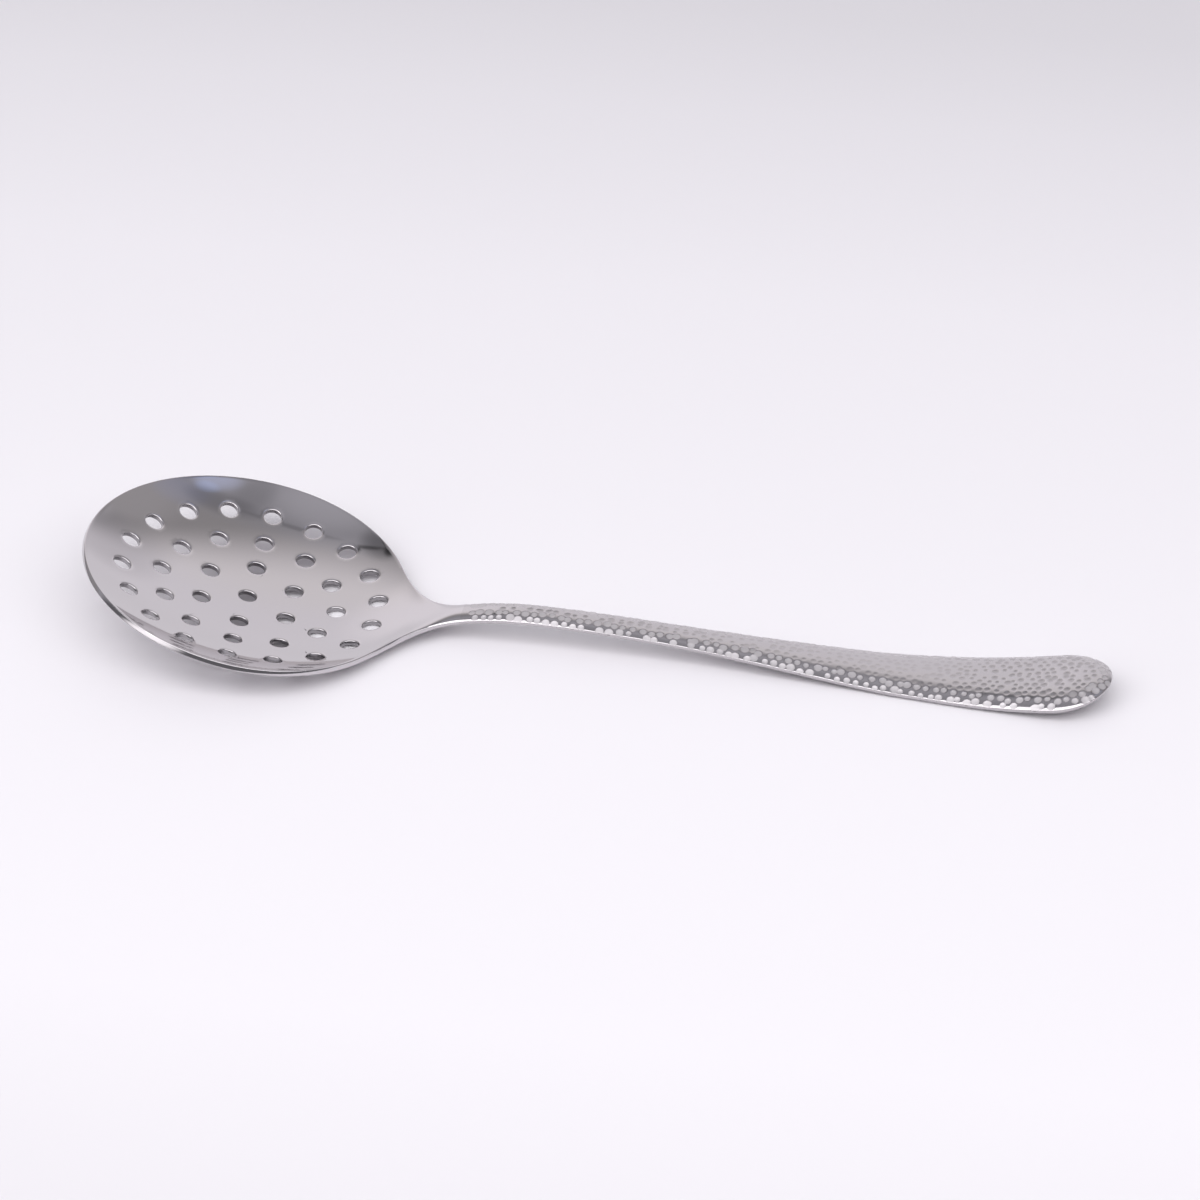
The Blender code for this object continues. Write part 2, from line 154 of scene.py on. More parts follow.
# Fineness
RIM_STEPS = 360
DISH_RINGS = 60
FLARE_ROWS = 60
CURVE_STEPS = 400
CORNER_STEPS = 5
SECTION_ROUNDS = 3               # rounds in which a section's dome and shoulder settle
RIM_TURN = math.radians(1.0)     # turn round the bowl that gives the rim's direction
SLOPE_PITCH = 0.0001             # step over which the pressed sheet's slope is read
HANDLE_ROWS = 800
HANDLE_LANES = 90
LANE_BIAS = 0.275                # how much closer the lanes lie along the edges
END_ROWS = 64
UNDERSIDE_PITCH = 0.0030
WELD = 1e-6
SMOOTH_BELOW = math.radians(40.0)  # turn between faces up to which they are shaded as one

# Finish
STEEL_COLOUR = (0.60, 0.576, 0.592)
SATIN_PATCHES = 60.0             # patches for each metre, in which the roughness varies
SATIN_ROUGHNESS = (0.04, 0.06)
RING_MARKS = 2600.0              # turning marks for each metre from the bowl's axis
RING_MARK_TURN = 2.0             # change of the marks for each radian round the axis
RING_MARK_DETAIL = 4.0
RING_MARK_ROUGHNESS = (0.0, 0.02)
RING_MARK_BUMP = 0.02
PUNCHED_AND_SHADED = "punched_and_shaded"              # attribute that marks the holes' walls, for their dullness and their darker colour with painted shade
# Darker hole walls: partly the dull punched steel, partly painted shade where the walls mirror the shadowed
# table below
PUNCHED_AND_SHADED_COLOUR = (0.34, 0.33, 0.34)
PUNCHED_DULLNESS = 0.08          # roughness added on the holes' walls
HANDLE_COLOUR = (0.555, 0.533, 0.547)
HANDLE_PATCHES = 120.0
HANDLE_ROUGHNESS = (0.10, 0.15)
PATCH_DETAIL = 3.0
GRAIN = 1400.0                   # grains for each metre
GRAIN_DETAIL = 2.0
GRAIN_BUMP = 0.06
BUMP_DEPTH = 0.00005
# Painted light on the dents' floors: painted shade on those away from the edges, painted highlight on those
# along the edges
MIDDLE_DENT_PAINTED_SHADE = (0.48, 0.46, 0.472)
EDGE_DENT_PAINTED_HIGHLIGHT = (0.71, 0.687, 0.70)
DENT_DULLNESS_AND_PAINTED_LIGHT = "dent_dullness_and_painted_light"                # attribute that marks the dents' floors, for their dullness and their painted shade and highlight
DENT_DULLNESS = 0.45             # roughness added on the dents' floors
NOISE_RANGE = (0.3, 0.7)         # middle of a noise's values, spread over a whole range

# Studio
FLOOR_SIZE = 8.0
FLOOR_TINT = (0.987, 0.972, 1.0)
FLOOR_PAINTED_SHADES = [                 # painted shade by y, from the front to the back: darker in front, where it cancels the top softbox, and darker towards the back, where it stands in for the light's fall-off
    (-0.35, 0.683), (-0.19, 0.843), (-0.05, 0.896), (0.12, 0.939),
    (0.23, 0.966), (0.37, 0.945), (0.46, 0.902),
]
FLOOR_ROUGHNESS = 0.9
LAMPS = [                        # name, place, width and length, radiance, whether the steel mirrors it
    ("top_softbox", (0.0, -1.05, 1.15), (3.6, 1.5), 2.1, True),
    ("fill_light", (0.0, 0.1, 1.6), (3.0, 2.4), 0.24, False),
]
LAMP_TINT = (1.0, 0.98, 1.0)

# Surroundings, in degrees: the swing goes from the back (0) over the top (90) to the front (180),
# and sideways is towards +X
BACKDROP_LEVEL = 0.90
BACKDROP_MIDDLE = -8.0           # sideways place of the backdrop's highest point
BACKDROP_TOP = 54.5              # swing of that point
BACKDROP_SAG = 0.0295            # fall of the upper edge for each squared degree from its middle
BACKDROP_BLUR = 13.0
ROOM_LEVEL = 0.36
MILD = (1.03, 1.0, 1.05)
WARM = (1.035, 1.0, 1.017)
COOL = (1.012, 1.0, 1.078)
ROOM_SWEEP = [                   # swing, level, tint
    (0.0, 0.93, MILD), (12.0, 0.945, MILD), (20.0, 0.98, MILD), (30.0, 0.98, MILD), (40.0, 0.97, WARM),
    (55.0, 0.97, WARM), (63.0, 0.97, COOL), (80.0, 1.21, COOL), (95.0, 0.97, COOL), (120.0, 0.485, COOL),
    (180.0, 0.44, COOL),
]
DARK_PLACES = [                  # sideways and swing of the middle, half size each way, strength
    ((-14.0, 60.7), (6.0, 1.1), 0.68),
    ((3.0, 62.3), (13.0, 1.2), 0.30),
    ((-19.3, 59.5), (1.8, 3.2), 0.85),
    ((-18.0, 63.0), (8.0, 9.0), 0.48),
    ((17.0, 62.5), (10.0, 6.0), 0.27),
    ((13.5, 72.0), (5.0, 12.0), 0.18),
    ((19.0, 27.0), (12.0, 16.0), 0.20),
]
BRIGHT_PLACES = [                # sideways and swing of the middle, half size each way, colour
    ((23.5, 73.0), (7.5, 8.5), (0.17, 0.21, 0.33)),
    ((22.5, 67.0), (3.5, 3.5), (0.06, 0.10, 0.20)),
    ((26.0, 60.0), (9.0, 8.0), (0.0, 0.01, 0.05)),
    ((30.0, 46.0), (14.0, 22.0), (0.076, 0.075, 0.08)),
    ((31.0, 30.0), (8.0, 9.0), (0.10, 0.10, 0.105)),
    ((-26.0, 29.0), (16.0, 18.0), (0.142, 0.13, 0.132)),
    ((-1.0, 74.0), (14.0, 12.0), (0.075, 0.075, 0.08)),
    ((-42.5, 156.0), (28.0, 23.0), (1.50, 1.47, 1.50)),
]

# Camera
PICTURE_SIZE = 1200
FOCAL_PIXELS = 4690.0
SENSOR_WIDTH = 36.0
VIEW_AZIMUTH = math.radians(11.15)
VIEW_ELEVATION = math.radians(30.93)
VIEW_DISTANCE = 1.3600
VIEW_TARGET = Vector((0.00165, 0.0, 0.01635))


class Run:
    """A line through points, read as a height at any reach; its first and last stretch go on."""

    def __init__(self, points):
        self.reaches = [point[0] for point in points]
        self.heights = [point[1] for point in points]

    def __call__(self, reach):
        ahead = min(max(bisect(self.reaches, reach), 1), len(self.reaches) - 1)
        near, far = self.reaches[ahead - 1], self.reaches[ahead]
        low, high = self.heights[ahead - 1], self.heights[ahead]
        return low + (high - low) * (reach - near) / (far - near)

    def held(self, reach):
        """The height, which stays as it is past the last point."""
        return self(min(reach, self.reaches[-1]))


def bezier_run(knots, steps):
    """Points along Bezier knots, each a place with its handle behind and its handle ahead."""
    points = [knots[0][0]]
    for (start, _, ahead), (end, behind, _) in zip(knots, knots[1:]):
        points.extend(interpolate_bezier(start, ahead, behind, end, steps)[1:])
    return points


def ease(share):
    """Smooth step from 0 to 1."""
    share = min(max(share, 0.0), 1.0)
    return share * share * (3.0 - 2.0 * share)


def dish_radius(x):
    return NECK_SIDE_RADIUS if x > 0.0 else BOWL_RADIUS


def dish_height(x, y):
    share = (x / dish_radius(x)) ** 2 + (y / BOWL_RADIUS) ** 2
    return BOWL_DEPTH * ((1.0 - WALL_BIAS) * share + WALL_BIAS * share ** 2)


def dish_normal(x, y):
    share = (x / dish_radius(x)) ** 2 + (y / BOWL_RADIUS) ** 2
    steepness = 2.0 * BOWL_DEPTH * (1.0 - WALL_BIAS + 2.0 * WALL_BIAS * share)
    return Vector((-steepness * x / dish_radius(x) ** 2, -steepness * y / BOWL_RADIUS ** 2, 1.0)).normalized()


def bowl_placement():
    """Tilt the bowl, and lift it until the lowest point of its underside meets the table."""
    tilt = Matrix.Rotation(BOWL_TILT, 4, "Y")
    lowest = 0.0
    for step in range(CURVE_STEPS + 1):
        x = NECK_SIDE_RADIUS * step / CURVE_STEPS
        underside = Vector((x, 0.0, dish_height(x, 0.0))) - SHEET * dish_normal(x, 0.0)
        lowest = min(lowest, (tilt @ underside).z)
    return Matrix.Translation((0.0, 0.0, -lowest)) @ tilt


PLACEMENT = bowl_placement()
TO_BOWL = PLACEMENT.inverted()
TABLE_UP = TO_BOWL.to_3x3() @ Vector((0.0, 0.0, 1.0))


def rim_point(angle):
    """A point of the rim's inner edge, in the table's frame."""
    x = dish_radius(math.cos(angle)) * math.cos(angle)
    return PLACEMENT @ Vector((x, BOWL_RADIUS * math.sin(angle), BOWL_DEPTH))


def side_points():
    """Top face of the neck and the handle, as reach and height."""
    root = rim_point(0.0)
    rest_end = REST_REACH + REST_LENGTH
    low = HANDLE_THICKNESS
    knots = [
        (Vector((root.x, root.z)), None, Vector((root.x + NECK_PULL, root.z + NECK_PULL * NECK_SLOPE))),
        (Vector((CREST_REACH, CREST_HEIGHT)), Vector((CREST_REACH - CREST_PULL_BACK, CREST_HEIGHT)),
         Vector((CREST_REACH + CREST_PULL_AHEAD, CREST_HEIGHT))),
        (Vector((REST_REACH, low)), Vector((REST_REACH - REST_PULL, low)),
         Vector((REST_REACH + REST_LENGTH / 3.0, low))),
        (Vector((rest_end, low)), Vector((rest_end - REST_LENGTH / 3.0, low)),
         Vector((rest_end + TIP_PULL, low))),
        (Vector((TIP_REACH, low + TIP_LIFT)),
         Vector((TIP_REACH - TIP_PULL_BACK, low + TIP_LIFT - TIP_SAG)), None),
    ]
    return bezier_run(knots, CURVE_STEPS)


SIDE = Run(side_points())


def flare_points(steps):
    """Edge of the neck, from the rim to the seam, in the bowl's own frame."""
    start = rim_point(FLARE_START)
    along_rim = (rim_point(FLARE_START - RIM_TURN) - start).normalized()
    seam = Vector((NECK_REACH, NECK_WIDTH / 2.0, SIDE(NECK_REACH)))
    along_neck = Vector((NECK_STEP, 0.0, SIDE(NECK_REACH) - SIDE(NECK_REACH - NECK_STEP))).normalized()
    knots = [
        (start, None, start + FLARE_RIM_PULL * along_rim + Vector((0.0, 0.0, FLARE_LIFT))),
        (seam, seam - FLARE_NECK_PULL * along_neck, None),
    ]
    return [TO_BOWL @ point for point in bezier_run(knots, steps)]


def neck_line_points():
    """Middle line of the neck in the bowl's own frame, as place and height."""
    root = rim_point(0.0).x
    reaches = [root + (CREST_REACH - root) * step / CURVE_STEPS for step in range(CURVE_STEPS + 1)]
    points = [TO_BOWL @ Vector((reach, 0.0, SIDE(reach))) for reach in reaches]
    return [(point.x, point.z) for point in points]


NECK_LINE = Run(neck_line_points())
FLARE_EDGE = flare_points(CURVE_STEPS)
FLARE_WIDTH = Run([(point.x, point.y) for point in FLARE_EDGE])
FLARE_HEIGHT = Run([(point.x, point.z) for point in FLARE_EDGE])
FLARE_ENDS = flare_points(2)
FLARE_FOOT = FLARE_ENDS[0].x
SEAM_PLACE = FLARE_ENDS[-1].x


def neck_share(x):
    """Share of the way along the neck, from the flares' foot to the seam."""
    return (x - FLARE_FOOT) / (SEAM_PLACE - FLARE_FOOT)


def sheet_height(x, y):
    """Height of the pressed sheet's upper face, in the bowl's own frame."""
    dish = dish_height(x, y)
    if x <= FLARE_FOOT:
        return dish
    middle = dish_height(x, 0.0) if x < NECK_SIDE_RADIUS else NECK_LINE(x)
    trough = (FLARE_HEIGHT(x) - middle) * (y / FLARE_WIDTH(x)) ** 2 if x < SEAM_PLACE else 0.0
    return dish + (middle + trough - dish) * ease((x - FLARE_FOOT) / NECK_BLEND)


def sheet_normal(x, y):
    slope_x = (sheet_height(x + SLOPE_PITCH, y) - sheet_height(x - SLOPE_PITCH, y)) / (2.0 * SLOPE_PITCH)
    slope_y = (sheet_height(x, y + SLOPE_PITCH) - sheet_height(x, y - SLOPE_PITCH)) / (2.0 * SLOPE_PITCH)
    return Vector((-slope_x, -slope_y, 1.0)).normalized()


class Section:
    """Upper face across a strip: a domed middle, then a soft shoulder that ends at a given slope."""

    def __init__(self, half_width, crown, power, shoulder, end_slope, corner):
        self.crown = crown
        self.power = power
        self.shoulder = shoulder
        self.end_slope = end_slope
        self.outer = half_width - corner * (1.0 - math.sin(end_slope))
        self.domed = self.outer
        for _ in range(SECTION_ROUNDS):
            self.lean = min(math.atan(power * crown / self.domed), end_slope)
            self.domed = self.outer - shoulder * (math.sin(end_slope) - math.sin(self.lean))

    def height(self, aside):
        """Height over the shoulder's outer edge."""
        fall = self.shoulder * (math.cos(self.lean) - math.cos(self.end_slope))
        if aside <= self.domed:
            return fall + self.crown * (1.0 - (aside / self.domed) ** self.power)
        lean = math.asin(math.sin(self.lean) + (aside - self.domed) / self.shoulder)
        return self.shoulder * (math.cos(lean) - math.cos(self.end_slope))


SHOULDER = Run(SHOULDER_RADII)
POWER = Run(CROWN_POWERS)
MIDDLE_DEPTH = Run(MIDDLE_DENTS)


def verts_of(geometry):
    return [item for item in geometry if isinstance(item, bmesh.types.BMVert)]


def edges_of(geometry):
    return [item for item in geometry if isinstance(item, bmesh.types.BMEdge)]


def outward_of(vert, edges):
    """Direction in the flat away from the faces beside an open edge."""
    outward = Vector((0.0, 0.0, 0.0))
    for edge in vert.link_edges:
        if edge in edges:
            along = edge.verts[1].co - edge.verts[0].co
            across = Vector((along.y, -along.x, 0.0)).normalized()
            from_face = edge.verts[0].co - edge.link_faces[0].calc_center_median()
            outward += across if across.dot(from_face) > 0.0 else -across
    return outward.normalized()


def underside_rise(aside, half_width, rise):
    """Height of a strip's convex underside over its lowest line."""
    share = min(max((aside - half_width) / UNDER_RUN + 1.0, 0.0), 1.0)
    return rise * (1.0 - math.sqrt(1.0 - share ** 2))


def corner_profile(corner, tangent, drop, under_run, under_rise, thickness):
    """Outward and downward steps of an edge: an upper corner, a wall and a lower corner."""
    steps = []
    for step in range(1, CORNER_STEPS + 1):
        angle = tangent + (math.pi / 2.0 - tangent) * step / CORNER_STEPS
        steps.append((corner * (math.sin(angle) - math.sin(tangent)),
                      drop + corner * (math.cos(tangent) - math.cos(angle))))
    run = steps[-1][0]
    for step in range(CORNER_STEPS + 1):
        angle = math.pi / 2.0 * step / CORNER_STEPS
        steps.append((run - under_run * (1.0 - math.cos(angle)),
                      thickness - under_rise * (1.0 - math.sin(angle))))
    return steps


def roll_edges(bm, edges, profile_at):
    """Extrude open edges of a flat blank round the profile that each of their points has."""
    members = set(edges)
    corners = {vert for edge in edges for vert in edge.verts}
    origins = {vert: (vert.co.copy(), outward_of(vert, members), profile_at(vert.co)) for vert in corners}
    row = list(edges)
    for step in range(2 * CORNER_STEPS + 1):
        drawn = bmesh.ops.extrude_edge_only(bm, edges=row)["geom"]
        row = edges_of(drawn)
        moved = {}
        for vert in verts_of(drawn):
            beside = [edge.other_vert(vert) for edge in vert.link_edges]
            moved[vert] = next(origins[other] for other in beside if other in origins)
        for vert, (place, outward, profile) in moved.items():
            run, drop = profile[step]
            vert.co = Vector((place.x, place.y, 0.0)) + run * outward + Vector((0.0, 0.0, -drop))
        origins = moved
    return row


def add_underside(bm, thickness_at):
    """Copy a flat sheet's upper face to its underside."""
    copied = bmesh.ops.duplicate(bm, geom=bm.verts[:] + bm.edges[:] + bm.faces[:])["geom"]
    for vert in verts_of(copied):
        vert.co.z = -thickness_at(vert.co)


def close_blank(bm):
    """Weld a blank's faces, close its end at the seam and turn its faces outwards."""
    bmesh.ops.remove_doubles(bm, verts=bm.verts, dist=WELD)
    bmesh.ops.holes_fill(bm, edges=[edge for edge in bm.edges if edge.is_boundary], sides=0)
    bmesh.ops.recalc_face_normals(bm, faces=bm.faces)


def add_object(name, data):
    """Put an object into the scene, at the origin."""
    thing = bpy.data.objects.new(name, data)
    bpy.context.scene.collection.objects.link(thing)
    return thing


def finish_mesh(name, bm, finish):
    """Turn a bmesh into a mesh with its material."""
    mesh = bpy.data.meshes.new(name)
    bm.to_mesh(mesh)
    bm.free()
    mesh.materials.append(finish)
    return mesh


def make_piece(name, bm, finish):
    mesh = finish_mesh(name, bm, finish)
    mesh.shade_smooth()
    mesh.set_sharp_from_angle(angle=SMOOTH_BELOW)
    return add_object(name, mesh)


def hole_places():
    """Each drain hole's place on the flat sheet: one in the middle, and rings round it."""
    places = [Vector((0.0, 0.0, 0.0))]
    for ring in range(1, HOLE_RINGS + 1):
        radius = FIRST_RING_RADIUS + RING_SPACING * (ring - 1)
        count = HOLES_PER_RING_STEP * ring
        for index in range(count):
            angle = PATTERN_TURN + math.tau * index / count
            places.append(Vector((radius * math.cos(angle), radius * math.sin(angle), 0.0)))
    return places


def spin_disc():
    """The dish's flat blank, short of the rim by the rim's rounding."""
    bm = bmesh.new()
    spoke = [bm.verts.new((step / DISH_RINGS, 0.0, 0.0)) for step in range(DISH_RINGS + 1)]
    lines = [bm.edges.new(pair) for pair in zip(spoke, spoke[1:])]
    bmesh.ops.spin(bm, geom=spoke + lines, cent=(0.0, 0.0, 0.0), axis=(0.0, 0.0, 1.0),
                   angle=math.tau, steps=RIM_STEPS, use_merge=True)
    bmesh.ops.remove_doubles(bm, verts=bm.verts, dist=WELD)
    for vert in bm.verts:
        vert.co.x *= dish_radius(vert.co.x) - RIM_CORNER
        vert.co.y *= BOWL_RADIUS - RIM_CORNER
    return bm


def set_in_ring(verts, middle, radius, drop):
    """Space a closed loop of points evenly on a circle, from its foremost point on, keeping its turn."""
    count = len(verts)
    foremost = max(range(count), key=lambda index: tuple(verts[index].co))
    loop = verts[foremost:] + verts[:foremost]
    first = loop[0].co - middle
    second = loop[1].co - middle
    turn = 1.0 if first.cross(second).z > 0.0 else -1.0
    start = math.atan2(first.y, first.x)
    for index, vert in enumerate(loop):
        angle = start + turn * math.tau * index / count
        vert.co = middle + Vector((radius * math.cos(angle), radius * math.sin(angle), -drop))


def open_hole(bm, middle):
    """Clear the cells round a hole, and draw the sheet in and down to a round edge in a few rings."""
    room = HOLE_RADIUS + HOLE_COLLAR
    cells = [face for face in bm.faces if (face.calc_center_median() - middle).length < room]
    plug = bmesh.ops.dissolve_faces(bm, faces=cells, use_verts=False)["region"][0]
    edge_radius = HOLE_RADIUS + HOLE_LIP_RUN
    for share in HOLE_ROLL_RINGS:
        plug = bmesh.ops.extrude_discrete_faces(bm, faces=[plug])["faces"][0]
        set_in_ring(list(plug.verts), middle, edge_radius + HOLE_ROLL * share,
                    HOLE_ROLL_DROP * (1.0 - share) ** 2)
    bmesh.ops.delete(bm, geom=[plug], context="FACES_ONLY")


def in_holes(place):
    """Whether a point of an edge belongs to a hole, rather than to the rim or the neck."""
    return place.to_2d().length < HOLES_END


def grown_on_neck(x):
    """How far the neck has taken on the handle's section: not at all on the rim, fully at the seam."""
    return ease((x - CROWN_START) / (SEAM_PLACE - CROWN_START))


def neck_corner(grown):
    """Rounding of the upper edge, from the rim's to the handle's."""
    return RIM_CORNER + (EDGE_CORNER - RIM_CORNER) * grown


def neck_section(x, half_width):
    grown = grown_on_neck(x)
    return Section(half_width, NECK_CROWN * grown, POWER(NECK_REACH), SHOULDER(NECK_REACH),
                   SHOULDER_END * grown, neck_corner(grown))


def thickness_on_bowl(place):
    """Sheet thickness, which grows along the neck to the handle's, with its convex underside."""
    if place.x <= FLARE_FOOT:
        return SHEET
    rise = underside_rise(abs(place.y), FLARE_WIDTH(place.x), UNDER_RISE * grown_on_neck(place.x))
    return SHEET + (HANDLE_THICKNESS - SHEET) * ease(neck_share(place.x)) - rise


def draw_out_neck(bm):
    """Extrude the flat blank between the two flares, row by row, to the seam."""
    foot = BOWL_RADIUS * math.sin(FLARE_START)
    root = NECK_SIDE_RADIUS - RIM_CORNER
    row = [edge for edge in bm.edges if edge.is_boundary
           and all(vert.co.x > 0.0 and abs(vert.co.y) < foot for vert in edge.verts)
           and not in_holes(edge.verts[0].co)]
    outline = flare_points(FLARE_ROWS + 1)
    for index in range(1, FLARE_ROWS + 1):
        behind, edge_point = outline[index - 1], outline[index]
        along = (edge_point - behind).to_2d().normalized()
        section = neck_section(edge_point.x, edge_point.y)
        inset = edge_point.y - section.outer
        edge_x = edge_point.x + along.y * inset
        edge_y = edge_point.y - along.x * inset
        if index == FLARE_ROWS:
            edge_x = SEAM_PLACE
        middle = root + (SEAM_PLACE - NECK_SIDE_RADIUS + RIM_CORNER) * neck_share(edge_x)
        drawn = bmesh.ops.extrude_edge_only(bm, edges=row)["geom"]
        row = edges_of(drawn)
        widest = max(abs(vert.co.y) for edge in row for vert in edge.verts)
        sunk = SHOULDER_DROP * grown_on_neck(edge_x)
        for vert in verts_of(drawn):
            aside = vert.co.y / widest
            rise = section.height(abs(aside) * section.outer) - sunk
            vert.co = (middle + (edge_x - middle) * aside ** 2, aside * edge_y, rise)
    return row


def bowl_profile(place):
    """Edge profile at a point of the bowl's outline or of a hole."""
    thickness = thickness_on_bowl(place)
    if in_holes(place):
        return corner_profile(HOLE_LIP, HOLE_LEAN, HOLE_ROLL_DROP, HOLE_LIP_RUN, RIM_CORNER, thickness)
    grown = grown_on_neck(place.x)
    corner = neck_corner(grown)
    tangent = SHOULDER_END * grown
    run = corner * (1.0 - math.sin(tangent))
    rise = UNDER_RISE * grown
    left = rise - underside_rise(abs(place.y), abs(place.y) + run, rise)
    return corner_profile(corner, tangent, SHOULDER_DROP * grown, run, max(left, RIM_CORNER), thickness)


def mark_holes(bm):
    """Mark the punched walls of the holes on the flat blank, for their dullness and their painted shade."""
    layer = bm.verts.layers.float.new(PUNCHED_AND_SHADED)
    wall_top = HOLE_ROLL_DROP + HOLE_LIP * PUNCHED_FROM
    wall_foot = SHEET - RIM_CORNER / 2.0
    for vert in bm.verts:
        punched_and_shaded = in_holes(vert.co) and wall_top < -vert.co.z < wall_foot
        vert[layer] = 1.0 if punched_and_shaded else 0.0


def press_bowl(bm):
    """Press the flat blank to the dish and the neck, and set it on the table."""
    for vert in bm.verts:
        x, y, depth = vert.co
        stack = sheet_normal(x, y).lerp(TABLE_UP, ease(neck_share(x)))
        vert.co = Vector((x, y, sheet_height(x, y))) + depth * stack
    bm.transform(Matrix.Translation((BOWL_MIDDLE_X, 0.0, 0.0)) @ PLACEMENT)


def make_bowl(finish):
    bm = spin_disc()
    for middle in hole_places():
        open_hole(bm, middle)
    seam = set(draw_out_neck(bm))
    open_edges = [edge for edge in bm.edges if edge.is_boundary and edge not in seam]
    add_underside(bm, thickness_on_bowl)
    roll_edges(bm, open_edges, bowl_profile)
    close_blank(bm)
    mark_holes(bm)
    press_bowl(bm)
    return make_piece("bowl_pressed", bm, finish)


def handle_edge_knots():
    """Edge of the handle, as reach and half width, from the seam to the widest place."""
    seam = Vector((NECK_REACH, NECK_WIDTH / 2.0))
    shank = Vector((SHANK_REACH, SHANK_WIDTH / 2.0))
    paddle = Vector((PADDLE_REACH, PADDLE_WIDTH / 2.0))
    shank_pull = SHANK_PULL * Vector((1.0, SHANK_SPREAD))
    paddle_pull = PADDLE_PULL * Vector((1.0, PADDLE_SPREAD))
    return [
        (seam, None, seam + Vector((FLARE_NECK_PULL, 0.0))),
        (shank, shank - shank_pull, shank + shank_pull),
        (paddle, paddle - paddle_pull, None),
    ]


HALF_WIDTH = Run(bezier_run(handle_edge_knots(), CURVE_STEPS))


def crown_on_handle(reach):
    """Height of the dome, which grows from the neck to the shank and again to the paddle."""
    on_shank = ease((reach - NECK_REACH) / (CREST_REACH - NECK_REACH))
    on_paddle = ease((reach - SHANK_REACH) / (REST_REACH - SHANK_REACH))
    return NECK_CROWN + (SHANK_CROWN - NECK_CROWN) * on_shank + (PADDLE_CROWN - SHANK_CROWN) * on_paddle


def handle_section(reach):
    reach = min(reach, PADDLE_REACH)
    return Section(HALF_WIDTH(reach), crown_on_handle(reach), POWER.held(reach), SHOULDER.held(reach),
                   SHOULDER_END, EDGE_CORNER)


END_SECTION = handle_section(PADDLE_REACH)
END_LENGTH = END_SECTION.outer + TIP_REACH - PADDLE_REACH - PADDLE_WIDTH / 2.0


def handle_top(reach, aside):
    """Height of the flat blank's upper face, and the share of the way to the shoulder's outer edge."""
    section = END_SECTION if reach > PADDLE_REACH else handle_section(reach)
    ahead = max(reach - PADDLE_REACH, 0.0) / END_LENGTH
    share = math.hypot(ahead, aside / section.outer)
    return section.height(min(share, 1.0) * section.outer) - SHOULDER_DROP, share


def handle_place(along, across):
    """Reach and side of a square grid's point on the blank; the grid's far side makes the round end."""
    across *= 1.0 + LANE_BIAS * (1.0 - across ** 2)
    last_straight = 1.0 - END_ROWS / HANDLE_ROWS
    if along <= last_straight:
        reach = NECK_REACH + (PADDLE_REACH - NECK_REACH) * along / last_straight
        return reach, across * handle_section(reach).outer
    into_end = (along - last_straight) / (1.0 - last_straight)
    ahead = into_end * math.sqrt(1.0 - across ** 2 / 2.0)
    aside = across * math.sqrt(1.0 - into_end ** 2 / 2.0)
    return PADDLE_REACH + ahead * END_LENGTH, aside * END_SECTION.outer


def handle_profile(_):
    """Edge profile of the handle, the same at every point."""
    return corner_profile(EDGE_CORNER, SHOULDER_END, SHOULDER_DROP, UNDER_RUN, UNDER_RISE, HANDLE_THICKNESS)


def close_underside(bm, edges):
    """Fill the flat underside inside its rolled edge, and cut it across so that it can bend."""
    ends = [vert for edge in edges for vert in edge.verts if vert.co.x < NECK_REACH + WELD]
    seam_edge = bmesh.ops.contextual_create(bm, geom=ends)["edges"]
    face = bmesh.ops.contextual_create(bm, geom=edges + seam_edge)["faces"][0]
    part = [face] + list(face.edges) + list(face.verts)
    for step in range(1, math.ceil((TIP_REACH - NECK_REACH) / UNDERSIDE_PITCH)):
        cut = (NECK_REACH + step * UNDERSIDE_PITCH, 0.0, 0.0)
        part = bmesh.ops.bisect_plane(bm, geom=part, plane_co=cut, plane_no=(1.0, 0.0, 0.0))["geom"]


def dent_size(reach, room):
    """Radius, depth, and dullness with painted light of a dent, which change from the middle (painted shade)
    to the band along the edge (painted highlight).
    """
    edge = ease((EDGE_BAND - room) / EDGE_BAND_FADE)
    shallow = MIDDLE_DEPTH.held(reach)
    dull_and_painted_light = MIDDLE_DULL_AND_PAINTED_SHADE * shallow / DEEPEST_MIDDLE_DENT
    radius = MIDDLE_DENT_RADIUS + (EDGE_DENT_RADIUS - MIDDLE_DENT_RADIUS) * edge
    return radius, shallow + (EDGE_DENT - shallow) * edge, dull_and_painted_light + (1.0 - dull_and_painted_light) * edge


def dent_places():
    """Hammer blows in staggered rows along both edges of the handle, each a little off its place."""
    hammer = random.Random(HAMMER_SEED)
    rows = math.ceil(PADDLE_WIDTH / 2.0 / DENT_ROW_PITCH)
    columns = math.ceil((TIP_REACH - DENT_START) / DENT_PITCH)
    blows = []
    for side, row, column in product((-1.0, 1.0), range(rows), range(columns + 1)):
        along = column + DENT_STAGGER * (row % 2)
        reach = DENT_START + DENT_PITCH * along + hammer.gauss(0.0, DENT_JITTER)
        inset = EDGE_ROW + DENT_ROW_PITCH * row + hammer.gauss(0.0, DENT_JITTER)
        spread = hammer.uniform(-DENT_RADIUS_SPREAD, DENT_RADIUS_SPREAD)
        half_width = handle_section(reach).outer
        aside = half_width - inset
        room = (1.0 - handle_top(reach, aside)[1]) * half_width
        if aside > 0.0 and room > DENT_EDGE_MARGIN and reach > DENT_START:
            radius, depth, dull_and_painted_light = dent_size(reach, room)
            blows.append((reach, side * aside, radius + spread, depth, dull_and_painted_light))
    return blows


def surface_tree(verts):
    """Points of a surface, ready to be found by their place."""
    tree = KDTree(len(verts))
    for index, vert in enumerate(verts):
        tree.insert(vert.co, index)
    tree.balance()
    return tree


